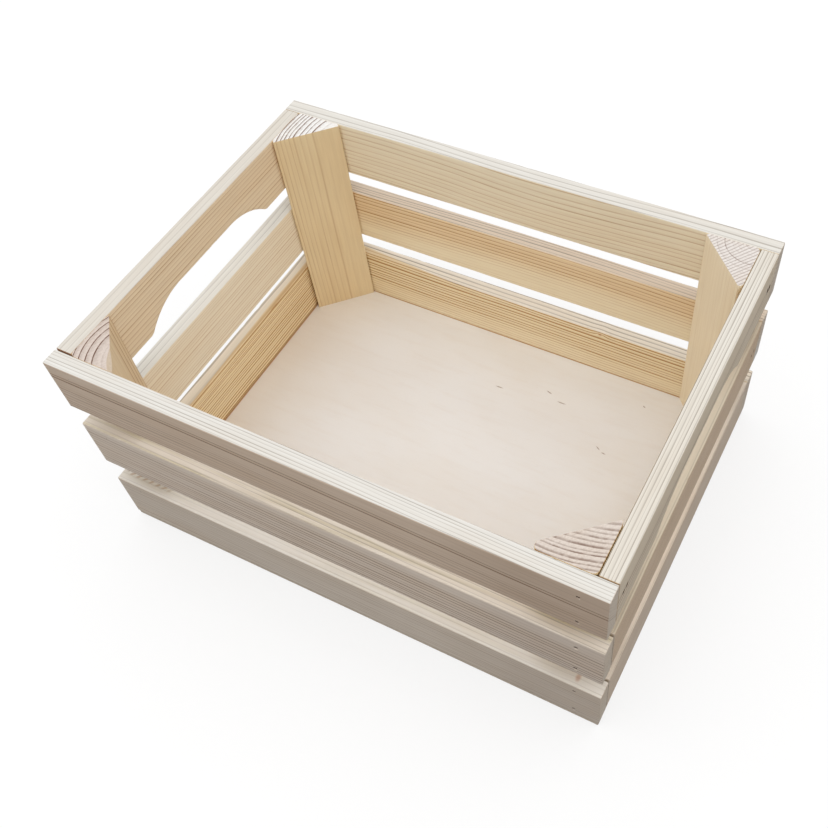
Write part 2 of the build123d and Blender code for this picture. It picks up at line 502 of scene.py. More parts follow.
def distance_from_pith(sheet, given, inside_tree, along):
    """Distance of a place in a board from the leaning, dipping heart of its tree, with a wave in it."""
    bend = sheet.noise(sheet.vector("DIVIDE", inside_tree, given["Wave size"]))["Color"]
    bend = sheet.vector("SCALE", sheet.vector("SUBTRACT", bend, (0.5, 0.5, 0.5)), given["Wave"])
    drift = sheet.vector("SCALE", given["Lean"], along)
    dip_at, dip_span, dip_depth = sheet.split(given["Dip"])
    dip = sheet.times(sheet.fall(sheet.absolute(sheet.minus(along, dip_at)), 0.0, dip_span), dip_depth)
    pith = sheet.vector("SUBTRACT", sheet.vector("ADD", given["Pith"], drift), sheet.join(0.0, 0.0, dip))
    out_from_pith = sheet.vector("ADD", sheet.vector("SUBTRACT", given["Board"], pith), bend)
    radius = sheet.vector("LENGTH", sheet.vector("MULTIPLY", out_from_pith, (0.0, 1.0, 1.0)))
    return sheet.plus(radius, given["Swell"])


def years_grown(sheet, given, radius):
    """Count of years from the pith outwards, some wide and some narrow."""
    crowding = sheet.math("POWER", sheet.math("DIVIDE", radius, RING_RADIUS), given["Narrowing"])
    crowding = sheet.math("DIVIDE", crowding, sheet.plus(given["Narrowing"], 1.0))
    years = sheet.times(sheet.math("DIVIDE", radius, given["Ring"]), crowding)
    uneven = sheet.minus(sheet.line_noise(sheet.times(years, 0.37)), 0.5)
    return sheet.plus(years, sheet.times(uneven, given["Uneven"], 2.2))


def latewood_line(sheet, given, years):
    """Dark line at the end of each year: it darkens slowly, stops sharply and is weaker in some years."""
    season = sheet.math("FRACT", years)
    into_line = sheet.plus(sheet.minus(season, 1.0), given["Line"])
    into_line = sheet.math("DIVIDE", into_line, given["Line"])
    dark = sheet.times(sheet.span(into_line, -0.5, 0.45), sheet.fall(into_line, 0.85, 1.0))
    dark = sheet.most(dark, sheet.span(season, 0.1, 0.8, 0.0, 0.2))
    year = sheet.add("ShaderNodeTexWhiteNoise", noise_dimensions="1D")
    sheet.feed(year.inputs["W"], sheet.math("FLOOR", years))
    return sheet.times(dark, sheet.rest(sheet.times(year.outputs["Value"], given["Uneven"])))


def growth_rings(name):
    """Solid growth rings round a pith along the board, so that faces, edges and ends agree."""
    sheet, given, put = new_group(
        name,
        {
            "vector": ("Board", "Start", "Pith", "Lean", "Dip", "Calm", "Wave size"),
            "float": ("Ring", "Line", "Narrowing", "Uneven", "Bold", "Sapwood", "Fade", "Wave", "Swell"),
        },
        {"float": RING_MASKS},
    )
    inside_tree = sheet.vector("ADD", given["Board"], given["Start"])
    along = sheet.split(given["Board"])[0]
    radius = distance_from_pith(sheet, given, inside_tree, along)
    streak = sheet.grain(inside_tree, STREAKS, detail=3.0)
    sap = sheet.span(sheet.minus(radius, given["Sapwood"]), -SAP_BLUR, SAP_BLUR)
    strong = sheet.fall(sheet.absolute(sheet.minus(radius, given["Bold"])), *BOLD_REACH)
    calm_from, calm_to, _ = sheet.split(given["Calm"])
    into_calm = sheet.span(sheet.minus(radius, calm_from), 0.0, CALM_BLUR[0])
    out_of_calm = sheet.span(sheet.minus(calm_to, radius), 0.0, CALM_BLUR[1])
    latewood = sheet.times(
        latewood_line(sheet, given, years_grown(sheet, given, radius)),
        sheet.span(streak, 0.3, 0.65, 0.5, 1.0),
        sheet.rest(sheet.times(sap, 0.75)),
        sheet.rest(sheet.times(along, given["Fade"])),
        sheet.plus(sheet.times(strong, 0.8), 1.0),
    )
    masks = (
        latewood,
        sheet.times(into_calm, 0.85, out_of_calm, sheet.rest(strong)),
        sap,
        sheet.grain(inside_tree, FIBRES, detail=3.0),
        sheet.grain(inside_tree, TONES),
        streak,
    )
    for label, mask in zip(RING_MASKS, masks):
        sheet.feed(put[label], mask)
    return sheet.tree


def small_knot(name):
    """Dark eye of a small knot, and the swell that bends the rings round it."""
    inputs = {"vector": ("Board", "Place", "Stretch"), "float": ("Radius", "Depth")}
    sheet, given, put = new_group(name, inputs, {"float": ("Eye", "Swell")})
    away = sheet.vector("SUBTRACT", given["Board"], given["Place"])
    stretched = sheet.vector("MULTIPLY", away, given["Stretch"])
    reach = sheet.math("DIVIDE", sheet.vector("LENGTH", stretched), given["Radius"])
    sheet.feed(put["Eye"], sheet.span(reach, 0.2, 1.2, given["Depth"], 0.0))
    swell = sheet.math("POWER", math.e, sheet.times(reach, reach, -0.12))
    swell = sheet.times(swell, sheet.span(given["Depth"], 0.4, 1.0), given["Radius"], 1.6)
    sheet.feed(put["Swell"], swell)
    return sheet.tree


def season_colours(sheet, given, on_end, on_edge):
    """Earlywood and latewood colours on the outer and inner faces, narrow edges and sawn ends of a board,
    faces and edges as lit and shaded copies.
    """
    # Painted light and shade: faces turned outwards take the cooler shaded colours, faces turned inwards the
    # warmer lit ones
    outside = sheet.span(sheet.split(given["Normal"])[1], -0.4, 0.4)
    colours = []
    for season in SEASONS:
        colour = sheet.mix(outside, given[f"Inside {season}"], given[f"Outside {season}"])
        colour = sheet.mix(on_edge, colour, given[f"Edge {season}"])
        colours.append(sheet.mix(on_end, colour, given[f"End {season}"]))
    return colours


def heartwood(sheet, given, on_edge):
    """Share of a darker, yellow-orange band, which runs along the inner side of a slat's edges."""
    along, across, _ = sheet.split(given["Board"])
    wobble = sheet.times(sheet.minus(given["Tone"], 0.5), BAND_WOBBLE)
    inwards = sheet.minus(given["Heart edge"], sheet.plus(across, wobble))
    inwards = sheet.plus(inwards, sheet.times(along, given["Heart slant"]))
    return sheet.times(sheet.span(inwards, -BAND_BLUR, BAND_BLUR), on_edge)


def saw_lines(sheet, given, on_end):
    """Slanted lines that the saw's teeth left across the ends."""
    turn = sheet.vector("DOT_PRODUCT", given["Board"], SAW_TEETH)
    line = sheet.math("SINE", sheet.plus(turn, sheet.times(given["Tone"], 6.0)))
    return sheet.times(sheet.span(line, 0.2, 1.0), given["Saw marks"], on_end)


def bare_pine(name):
    """Colour, roughness and relief of bare pine on a board's faces, narrow edges and sawn ends, with painted
    light and shade in its colour.
    """
    sheet, given, put = new_group(
        name,
        {
            "vector": ("Board", "Normal"),
            "float": (
                *RING_MASKS, "Contrast", "Trim contrast", "Edges", "Heart edge", "Heart slant",
                "Eye", "Pit", "Chatter", "Saw marks", "Resin share",
            ),
            "colour": (
                "Far tint", "Sap tint", "Resin", "Knot", "Bruise",
                *(f"{part} {season}" for part in BOARD_PARTS for season in SEASONS),
            ),
        },
        {"colour": ("Colour",), "float": ("Roughness", "Height")},
    )
    facing = sheet.split(sheet.vector("ABSOLUTE", given["Normal"]))
    on_end = sheet.span(facing[0], 0.45, 0.75)
    on_edge = sheet.times(sheet.span(facing[2], 0.45, 0.85), given["Edges"])
    on_trim = sheet.most(on_edge, on_end)

    contrast = sheet.span(on_trim, 0.0, 1.0, given["Contrast"], given["Trim contrast"])
    ring = sheet.math("MULTIPLY", given["Latewood"], contrast, clamp=True)
    ring = sheet.times(ring, sheet.rest(sheet.times(given["Calm"], sheet.rest(on_edge))))
    ring = sheet.most(ring, given["Chatter"])

    pale, dark = season_colours(sheet, given, on_end, on_edge)
    # heart: share of the darker, yellow-orange band along the inner side of the edges
    heart = heartwood(sheet, given, on_edge)
    rippled = sheet.math("MULTIPLY", given["Chatter"], 2.0, clamp=True)
    resin = sheet.times(sheet.span(given["Streak"], 0.42, 0.68), given["Resin share"], on_edge)
    pale = sheet.mix(heart, pale, sheet.mix(0.3, given["Inside pale"], given["Inside dark"]))
    pale = sheet.mix(resin, pale, given["Resin"])
    dark = sheet.mix(heart, dark, given["Inside dark"])
    dark = sheet.mix(rippled, dark, given["Inside dark"])

    colour = sheet.mix(ring, pale, dark)
    colour = sheet.dye(given["Sap"], colour, given["Sap tint"])
    # Painted shade: a slat's faces darken towards its -X end by the far shade tint
    far = sheet.fall(sheet.split(given["Board"])[0], *FAR_STRETCH)
    colour = sheet.dye(sheet.times(far, sheet.rest(on_trim)), colour, given["Far tint"])
    colour = sheet.dye(sheet.span(given["Tone"], 0.35, 0.7, 0.0, 0.35), colour, opaque(WARM_TINT))
    colour = sheet.dye(sheet.span(given["Fibre"], 0.3, 0.7, 0.0, 0.26), colour, opaque(HAIR_TINT))
    saw_line = saw_lines(sheet, given, on_end)
    colour = sheet.mix(sheet.times(saw_line, 0.22), colour, given["End dark"])
    grit = sheet.span(sheet.grain(given["Board"], GRIT), 0.45, 0.7, 0.0, 0.3)
    colour = sheet.dye(sheet.times(grit, on_end), colour, opaque(GRIT_TINT))
    colour = sheet.mix(given["Eye"], colour, given["Knot"])
    # Partly painted shade: the recesses over the brads take the dark pit colour
    sheet.feed(put["Colour"], sheet.mix(given["Pit"], colour, given["Bruise"]))

    rough = sheet.span(given["Fibre"], 0.2, 0.8, 0.5, 0.68)
    sheet.feed(put["Roughness"], sheet.math("ADD", rough, sheet.times(on_end, 0.2), clamp=True))
    relief = sheet.plus(sheet.times(given["Fibre"], 0.6), sheet.times(ring, 0.4))
    sheet.feed(put["Height"], sheet.minus(relief, sheet.times(saw_line, 0.6)))
    return sheet.tree


def brad_pit(name):
    """Mask that is 1 inside the pits over a slat's brads, which lie alike in its four quarters."""
    sheet, given, put = new_group(name, {"vector": ("Board", "Place")}, {"float": ("Mask",)})
    flat = (1.0, 0.0, 1.0)
    quarter = sheet.vector("ABSOLUTE", sheet.vector("MULTIPLY", given["Board"], flat))
    aside = sheet.vector("SUBTRACT", quarter, sheet.vector("MULTIPLY", given["Place"], flat))
    near = sheet.fall(sheet.vector("LENGTH", aside), *PIT_REACH)
    depth = sheet.minus(sheet.split(given["Place"])[1], sheet.split(given["Board"])[1])
    inside = sheet.times(sheet.span(depth, *PIT_DEPTH), sheet.fall(depth, *PIT_FLOOR))
    sheet.feed(put["Mask"], sheet.times(near, inside))
    return sheet.tree


def planer_chatter(name):
    """Mask of slanted ripples that a planer left along the inner half of a slat's upper edge."""
    sheet, given, put = new_group(name, {"vector": ("Board", "Stretch")}, {"float": ("Mask",)})
    x, y, z = sheet.split(given["Board"])
    low, high, top = sheet.split(given["Stretch"])
    turn = sheet.times(sheet.minus(x, sheet.times(y, 0.9)), math.tau / CHATTER_PITCH)
    wobble = sheet.grain(given["Board"], (260.0, 260.0, 0.0))
    ripple = sheet.math("SINE", sheet.plus(turn, sheet.times(wobble, 2.5)))
    mask = sheet.times(
        sheet.span(ripple, -0.3, 0.7, 0.0, 0.48),
        sheet.span(sheet.minus(x, low), 0.0, CHATTER_BLUR),
        sheet.span(sheet.minus(high, x), 0.0, CHATTER_BLUR),
        sheet.fall(sheet.minus(top, z), *CHATTER_DEPTH),
        sheet.fall(y, *CHATTER_MIDDLE),
    )
    sheet.feed(put["Mask"], mask)
    return sheet.tree


def new_material(name):
    """Material with an empty node sheet and its Principled shader linked to the output."""
    material = bpy.data.materials.new(name)
    sheet = new_sheet(material)
    shader = sheet.add("ShaderNodeBsdfPrincipled")
    sheet.feed(sheet.add("ShaderNodeOutputMaterial").inputs["Surface"], shader.outputs[0])
    return material, sheet, shader


def dress(sheet, shader, colour, roughness, height, relief):
    """Gives a shader its colour and roughness, and the relief of a height."""
    bump = sheet.add("ShaderNodeBump")
    bump.inputs["Strength"].default_value = 1.0
    bump.inputs["Distance"].default_value = relief
    sheet.feed(bump.inputs["Height"], height)
    sheet.feed(shader.inputs["Base Color"], colour)
    sheet.feed(shader.inputs["Roughness"], roughness)
    sheet.feed(shader.inputs["Normal"], bump.outputs[0])


def board_colours(figure, is_slat):
    """Earlywood and latewood colours of one board, as inputs for bare pine."""
    finish = bpy.context.scene.crate_finish
    if is_slat:
        woods = {
            "outside": ("outside", figure.tint),
            "inside": ("inside", figure.tint),
            "edge": ("edge", figure.trim_tint),
            # The sawn ends of slats carry painted shade from the end gap shade tint
            "end": ("slat_end", figure.end_tint),
        }
    else:
        woods = {
            "outside": ("post", figure.tint),
            "inside": ("post", figure.tint),
            "end": ("post_end", figure.trim_tint),
        }
    return {
        f"{part}_{season}": tinted(getattr(finish, f"{wood}_{season}"), tint)
        for part, (wood, tint) in woods.items()
        for season in SEASONS
    }


def pine(name, figure, seed, pit=None, upper_edge=0.0):
    """Bare pine for one board, cut from the tree as its figure says.

    A slat gives the place of one brad pit and of its upper edge.
    """
    finish = bpy.context.scene.crate_finish
    material, sheet, shader = new_material(name)
    place = sheet.add("ShaderNodeTexCoord").outputs
    board = place["Object"]
    pick = random.Random(seed)
    knot = sheet.group(
        small_knot,
        board=board,
        place=metres((figure.knot.along, figure.knot.aside, figure.knot.aside)),
        stretch=(1.0, 0.6, 0.0) if figure.knot.upright else (0.45, 0.0, 1.0),
        radius=figure.knot.radius * MM,
        depth=figure.knot.depth,
    )
    rings = sheet.group(
        growth_rings,
        board=board,
        start=tuple(pick.uniform(2.0, 9.0) for _ in range(3)),
        pith=metres((0.0, *figure.pith)),
        lean=(0.0, *figure.lean),
        dip=metres(figure.dip),
        ring=figure.ring * MM,
        line=figure.line,
        narrowing=figure.narrowing,
        uneven=figure.uneven,
        bold=figure.bold * MM,
        calm=metres((*figure.calm, 0.0)),
        sapwood=figure.sapwood * MM,
        fade=figure.fade,
        wave=figure.wave * 2 * MM,
        wave_size=(figure.wave_length * MM, WAVE_ACROSS, WAVE_ACROSS),
        swell=knot["Swell"],
    )
    slat_inputs = {}
    if pit:
        slat_inputs["edges"] = 1.0
        slat_inputs["heart_edge"] = figure.heart_edge * MM
        slat_inputs["heart_slant"] = figure.heart_slant
        slat_inputs["pit"] = sheet.group(brad_pit, board=board, place=pit)["Mask"]
    if figure.chatter:
        stretch = (*metres(figure.chatter), upper_edge)
        slat_inputs["chatter"] = sheet.group(planer_chatter, board=board, stretch=stretch)["Mask"]
    bare = sheet.group(
        bare_pine,
        board=board,
        normal=place["Normal"],
        contrast=figure.contrast,
        trim_contrast=figure.trim_contrast,
        eye=knot["Eye"],
        saw_marks=figure.saw_marks,
        resin_share=figure.resin,
        far_tint=opaque(figure.far_tint),
        sap_tint=opaque(figure.sap_tint),
        resin=opaque(finish.resin),
        knot=opaque(finish.knot),
        bruise=opaque(finish.bruise),
        **{label.lower(): rings[label] for label in RING_MASKS},
        **board_colours(figure, bool(pit)),
        **slat_inputs,
    )
    dress(sheet, shader, bare["Colour"], bare["Roughness"], bare["Height"], PINE_RELIEF)
    shader.inputs["Specular IOR Level"].default_value = WOOD_GLOSS
    return material


# Colours of the plywood, and what its face veneer is scaled by in places
VENEER_FIGURE = shade(212, 192, 172)
VENEER_PORE = shade(190, 162, 138)
# Warm brown painted shade for the crease along the slats' feet
CREASE_SHADE = shade(206, 164, 120)
FLECK_COLOUR = shade(138, 104, 82)
OUTER_PLY = shade(226, 212, 194)
CORE_PLY = shade(184, 160, 136)
CLOUD_TINT = (0.96, 0.93, 0.89)
# Painted shade towards the left end of the veneer and painted light towards its right and back
PAINTED_SHADE_TINT = (0.985, 0.95, 0.9)
PAINTED_LIGHT_TINT = (1.05, 1.05, 1.04)

# Stretches of the plywood, along it and across it
PAINTED_SHADE_ALONG = (-190 * MM, -90 * MM)
PAINTED_LIGHT_ALONG = (60 * MM, 160 * MM)
PAINTED_LIGHT_ACROSS = (50 * MM, 120 * MM)
CREASE_SHADE_REACH = (-0.9 * MM, -0.1 * MM)
CORE_HALF = (0.55 * MM, 0.7 * MM)

# Flecks in the face veneer: place along, place across, half length and slope, in millimetres
FLECKS = (
    (7, 83.5, 4.5, 0.0),
    (48, 96, 3.5, -0.3),
    (62, 90, 5.0, 0.0),
    (126, 115, 1.6, -0.5),
    (108, 60.5, 2.6, -0.6),
    (114, 57.5, 2.4, -0.1),
)
FLECK_WIDTH = 0.7 * MM


def veneer_fleck(name):
    """A short dark fleck in veneer, as a mask."""
    inputs = {"vector": ("Sheet", "Place"), "float": ("Length", "Width", "Slope")}
    sheet, given, put = new_group(name, inputs, {"float": ("Mask",)})
    away = sheet.split(sheet.vector("SUBTRACT", given["Sheet"], given["Place"]))
    along = sheet.math("DIVIDE", away[0], given["Length"])
    across = sheet.minus(away[1], sheet.times(away[0], given["Slope"]))
    ragged = sheet.minus(sheet.grain(given["Sheet"], (700.0, 300.0, 0.0)), 0.5)
    across = sheet.plus(across, sheet.times(ragged, given["Width"]))
    across = sheet.math("DIVIDE", across, given["Width"])
    reach = sheet.vector("LENGTH", sheet.join(along, across, 0.0))
    sheet.feed(put["Mask"], sheet.fall(reach, 0.3, 1.0))
    return sheet.tree


def veneer(sheet, panel, pore):
    """Colour of the sanded face veneer, with painted shade towards the left end and painted light towards the
    right and the back.
    """
    finish = bpy.context.scene.crate_finish
    cloud = sheet.grain(panel, (9.0, 14.0, 0.0), detail=3.0)
    figure = sheet.grain(panel, (22.0, 160.0, 0.0), detail=4.0, roughness=0.6)
    clouded = tinted(finish.plywood, CLOUD_TINT)
    colour = sheet.mix(sheet.span(cloud, 0.35, 0.7, 0.0, 0.6), opaque(finish.plywood), clouded)
    colour = sheet.mix(sheet.span(figure, 0.45, 0.75, 0.0, 0.09), colour, opaque(VENEER_FIGURE))
    colour = sheet.mix(sheet.span(pore, 0.6, 0.8, 0.0, 0.12), colour, opaque(VENEER_PORE))
    along, across, _ = sheet.split(panel)
    # Painted light and shade: brighter towards the right and the back, sallower towards the left end
    painted_light = sheet.most(sheet.span(along, *PAINTED_LIGHT_ALONG), sheet.span(across, *PAINTED_LIGHT_ACROSS))
    colour = sheet.dye(sheet.fall(along, *PAINTED_SHADE_ALONG), colour, opaque(PAINTED_SHADE_TINT))
    return sheet.dye(painted_light, colour, opaque(PAINTED_LIGHT_TINT))


def slat_feet(sheet, panel):
    """Mask of the plywood under the slats and a little inside them, where a warm brown painted shade darkens
    the crease along the slats' feet.
    """
    along, across, _ = sheet.split(panel)
    left_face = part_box("left_bottom_slat")[1].x - SLAT_FIGURES["left_bottom_slat"].nudge[0] * MM
    past_left = sheet.minus(left_face, along)
    past_right = sheet.minus(along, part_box("right_bottom_slat")[0].x)
    past_long = sheet.minus(sheet.absolute(across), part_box("back_bottom_slat")[0].y)
    return sheet.span(sheet.most(past_left, past_right, past_long), *CREASE_SHADE_REACH)


def ply_edge(sheet, panel, height):
    """Colour of the plies along a sawn edge of the plywood."""
    core = sheet.fall(sheet.absolute(height), *CORE_HALF)
    core_grain = sheet.grain(panel, (900.0, 900.0, 2500.0))
    core = sheet.times(core, sheet.span(core_grain, 0.3, 0.7, 0.6, 1.0))
    return sheet.mix(core, opaque(OUTER_PLY), opaque(CORE_PLY))


def plywood():
    """Sanded birch veneer with a few flecks, and the plies along the sawn edges."""
    material, sheet, shader = new_material("Birch plywood")
    place = sheet.add("ShaderNodeTexCoord").outputs
    panel = place["Object"]
    height = sheet.split(panel)[2]
    upper = sheet.span(height, 0.0, MM)
    pore = sheet.grain(panel, (260.0, 1800.0, 0.0))
    colour = veneer(sheet, panel, pore)
    # Painted shade: warm brown in the crease where the slats stand on the plywood
    colour = sheet.mix(sheet.times(slat_feet(sheet, panel), upper), colour, opaque(CREASE_SHADE))
    for x, y, half_length, slope in FLECKS:
        mask = sheet.group(
            veneer_fleck,
            sheet=panel,
            place=metres((x, y, 0.0)),
            length=half_length * MM,
            width=FLECK_WIDTH,
            slope=slope,
        )["Mask"]
        colour = sheet.mix(sheet.times(mask, upper, 0.7), colour, opaque(FLECK_COLOUR))
    facing = sheet.split(sheet.vector("ABSOLUTE", place["Normal"]))
    on_edge = sheet.fall(facing[2], 0.3, 0.7)
    colour = sheet.mix(on_edge, colour, ply_edge(sheet, panel, height))
    dress(sheet, shader, colour, sheet.span(pore, 0.2, 0.8, 0.5, 0.62), pore, PLYWOOD_RELIEF)
    shader.inputs["Specular IOR Level"].default_value = WOOD_GLOSS
    return material


def brad_steel():
    """Wire darkened to a dark brown-grey as painted shade over the heads sunk in their pits, and scuffed by
    the nailer.
    """
    finish = bpy.context.scene.crate_finish
    material, sheet, shader = new_material("Brad steel")
    place = sheet.add("ShaderNodeTexCoord").outputs["Object"]
    scuff = sheet.grain(place, (1500.0, 1500.0, 1500.0), detail=3.0)
    dull = tinted(finish.steel, (0.5, 0.5, 0.5))
    colour = sheet.mix(sheet.span(scuff, 0.4, 0.7), opaque(finish.steel), dull)
    dress(sheet, shader, colour, sheet.span(scuff, 0.3, 0.7, 0.35, 0.6), scuff, STEEL_RELIEF)
    shader.inputs["Metallic"].default_value = 1.0
    return material


def skin(mesh, rings):
    """Skins a closed tube over rings of points and closes both ends."""
    loops = [[mesh.verts.new(point) for point in ring] for ring in rings]
    for near, far in zip(loops, loops[1:]):
        for i in range(len(near)):
            j = (i + 1) % len(near)
            mesh.faces.new((near[i], near[j], far[j], far[i]))
    mesh.faces.new(reversed(loops[0]))
    mesh.faces.new(loops[-1])


def tubes(ring_lists):
    """Mesh of one closed tube for each list of rings, with its faces turned outwards."""
    mesh = bmesh.new()
    for rings in ring_lists:
        skin(mesh, rings)
    bmesh.ops.recalc_face_normals(mesh, faces=mesh.faces)
    return mesh


def stations(half_length, saw_edge, steps):
    """Places along a board for the rings of its mesh: even steps, and both sawn ends."""
    inner = half_length - saw_edge
    return [-half_length, *(inner * (2 * i / steps - 1) for i in range(steps + 1)), half_length]


def arc(centre, radius, start, turn):
    """Points along an arc, with angles in degrees."""
    angles = [math.radians(start + turn * i / ROUND_STEPS) for i in range(ROUND_STEPS + 1)]
    return [(centre[0] + radius * math.cos(a), centre[1] + radius * math.sin(a)) for a in angles]


def between(first, last, count):
    """Evenly spaced points between two points, without the two themselves."""
    shares = [i / (count + 1) for i in range(1, count + 1)]
    return [(first[0] + (last[0] - first[0]) * s, first[1] + (last[1] - first[1]) * s) for s in shares]


def closed_outline(arcs, fills):
    """Joins arcs into one outline, with each straight stretch divided into steps."""
    points = []
    for i, (points_of_arc, fill) in enumerate(zip(arcs, fills)):
        points += points_of_arc
        points += between(points_of_arc[-1], arcs[(i + 1) % len(arcs)][0], fill)
    return points


def board_outline(half_thickness, lower, upper, arrises, fills):
    """Section of a board as (outwards, upwards) points, from its lower outer arris up and over."""
    a, b, c, d = arrises
    arcs = (
        arc((half_thickness - a, lower + a), a, -90, 90),
        arc((half_thickness - b, upper - b), b, 0, 90),
        arc((-half_thickness + c, upper - c), c, 90, 90),
        arc((-half_thickness + d, lower + d), d, 180, 90),
    )
    return closed_outline(arcs, fills)


def grip_lift(along, shape):
    """Height of the hand-hold above the slat's lower edge, at a place along the slat."""
    from_straight = abs(along) - shape.grip_straight / 2
    if from_straight <= 0:
        return shape.grip_depth
    drop = shape.grip_radius - shape.grip_depth
    reach = shape.grip_radius + shape.grip_corner
    corner = math.sqrt(reach**2 - (drop + shape.grip_corner) ** 2)
    touch = corner * shape.grip_radius / reach
    if from_straight < touch:
        return math.sqrt(shape.grip_radius**2 - from_straight**2) - drop
    if from_straight < corner:
        return shape.grip_corner - math.sqrt(shape.grip_corner**2 - (corner - from_straight) ** 2)
    return 0.0


# Wear of the arrises: waves to the metre, steps that tell boards and corners apart, and the nicks in it
WEAR_WAVES = 45
BOARD_STEP = 3.7
CORNER_STEP = 9.1
NICK_HALF_SPAN = (1.5, 4.0)
NICK_DEPTH = (0.4, 1.0)


class Nick(NamedTuple):
    """A dent in one of a slat's four arrises."""

    place: float
    corner: int
    half_span: float
    depth: float


def pick_nicks(pick, half_length, count):
    """Dents scattered over the arrises of a slat."""
    return [
        Nick(
            pick.uniform(-half_length, half_length),
            pick.randrange(4),
            pick.uniform(*NICK_HALF_SPAN) * MM,
            pick.uniform(*NICK_DEPTH),
        )
        for _ in range(count)
    ]


def worn_arris(x, corner, seed, nicks):
    """Radius of a slat's arris at a place along it, with its wear and nicks."""
    shape = bpy.context.scene.crate_shape
    wear = noise.noise(Vector((x * WEAR_WAVES, seed * BOARD_STEP, corner * CORNER_STEP)))
    radius = shape.arris * (1 + shape.arris_wear * wear)
    for nick in nicks:
        if nick.corner == corner and abs(x - nick.place) < nick.half_span:
            radius += shape.arris * nick.depth * (1 - ((x - nick.place) / nick.half_span) ** 2)
    return radius


def slat_mesh(half_length, half_thickness, half_width, short, seed, has_grip):
    """Planed slat along X, outer face towards +Y: worn arrises, small nicks and broken saw edges."""
    shape = bpy.context.scene.crate_shape
    nicks = pick_nicks(random.Random(seed), half_length, shape.nicks)
    steps = round(2 * (half_length - shape.saw_edge) / shape.slat_step)
    low_end, high_end = metres(short)
    rings = []
    for x in stations(half_length, shape.saw_edge, steps):
        trim = shape.saw_edge if abs(x) == half_length else 0.0
        arrises = [worn_arris(x, corner, seed, nicks) for corner in range(4)]
        lower = -half_width + (grip_lift(x, shape) if has_grip else 0.0) + trim
        outline = board_outline(half_thickness - trim, lower, half_width - trim, arrises, SLAT_FILLS)
        if x < -half_length + 2 * shape.slat_step:
            x += low_end
        if x > half_length - 2 * shape.slat_step:
            x -= high_end
        rings.append([(x, y, z) for y, z in outline])
    return tubes([rings])


def brad_boxes(node):
    """Lowest and highest corner of every brad in a CAD node."""
    mesh = bmesh.new()
    mesh.from_mesh(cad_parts[node].data)
    bmesh.ops.remove_doubles(mesh, verts=mesh.verts, dist=1e-6)
    boxes = []
    for start in mesh.verts:
        if start.tag:
            continue
        start.tag = True
        brad = [start]
        for vert in brad:
            for edge in vert.link_edges:
                other = edge.other_vert(vert)
                if not other.tag:
                    other.tag = True
                    brad.append(other)
        low = Vector([min(v.co[i] for v in brad) for i in range(3)])
        high = Vector([max(v.co[i] for v in brad) for i in range(3)])
        boxes.append((low, high))
    mesh.free()
    return boxes


class Pit(NamedTuple):
    """A torn mouth over a brad's head: its middle, depth and half sizes, and how wide it has torn."""

    x: float
    z: float
    depth: float
    half_x: float
    half_z: float
    tearing: float


# How brad pits are torn: how far, how square, and how steep and deep the gouged ones are
HEAD_CLEARANCE = 0.02 * MM
PIT_SQUARENESS = 0.6
PIT_TEAR = (0.3, 1.4)
MOST_TORN_ALONG = 1.3 * MM
END_PIT_TEAR = 0.35
GOUGE_STEEPNESS = 0.85
GOUGE_DEPTH = 0.5

# Tufts of torn fibre, in millimetres: their half sizes, and where they lie from the pit
TUFT_LENGTH = (1.0, 1.7)
TUFT_HEIGHT = (0.4, 0.6)
TUFT_ASIDE = (0.2, 1.2)
TUFT_BELOW = (1.0, 1.6)
TUFT_BELOW_TEAR = 0.63
TUFT_SINK = 0.12
TUFT_TURN = 0.4


def pit_mesh(pits, surface, seed, along=1.0):
    """Cutter for brad pits, which tears along the grain by the given share of what it tears across it."""
    shape = bpy.context.scene.crate_shape
    pick = random.Random(seed)
    tools = []
    for pit in pits:
        open_x = pit.half_x * min(pit.tearing, 1.0)
        open_z = pit.half_z * min(pit.tearing, 1.0)
        gouged = max(pit.tearing - 1.0, 0.0)
        steep = GOUGE_STEEPNESS * min(gouged, 1.0)
        mouth = []
        floor = []
        for i in range(PIT_CORNERS):
            turn = 2 * math.pi * i / PIT_CORNERS
            dx = math.copysign(abs(math.cos(turn)) ** PIT_SQUARENESS, math.cos(turn))
            dz = math.copysign(abs(math.sin(turn)) ** PIT_SQUARENESS, math.sin(turn))
            torn = shape.pit_margin * pit.tearing * pick.uniform(*PIT_TEAR)
            aside = min(along * torn, MOST_TORN_ALONG)
            mouth.append((pit.x + dx * (open_x + aside), pit.z + dz * (open_z + torn)))
            floor.append((pit.x + dx * (open_x + steep * aside), pit.z + dz * (open_z + steep * torn)))
        bottom = surface - pit.depth * (1 + GOUGE_DEPTH * gouged)
        levels = ((bottom, floor), (surface, mouth), (surface + MM, mouth))
        tools.append([[(x, y, z) for x, z in ring] for y, ring in levels])
    return tubes(tools)


def tuft_mesh(pits, surface, seed):
    """Tufts of torn fibre that stand up below the brad pits, one to a pit."""
    pick = random.Random(seed + TUFT_SEED)
    mesh = bmesh.new()
    for pit in pits:
        size = Vector([pick.uniform(*limits) for limits in (TUFT_LENGTH, TUFT_HEIGHT, TUFT_HEIGHT)])
        size = size * min(pit.tearing, 1.0) * MM
        along = pit.x - pick.uniform(*TUFT_ASIDE) * MM
        below = pit.half_z + (TUFT_BELOW_TEAR * pit.tearing + pick.uniform(*TUFT_BELOW)) * MM
        place = Vector((along, surface - TUFT_SINK * MM, pit.z - below))
        turn = Matrix.Rotation(pick.uniform(-TUFT_TURN, TUFT_TURN), 4, "Y")
        shaped = Matrix.Translation(place) @ turn @ Matrix.Diagonal((*size, 1.0))
        bmesh.ops.create_icosphere(mesh, subdivisions=2, radius=1.0, matrix=shaped)
    return mesh


def linked_object(name, data):
    """New object in the scene."""
    thing = bpy.data.objects.new(name, data)
    bpy.context.scene.collection.objects.link(thing)
    return thing


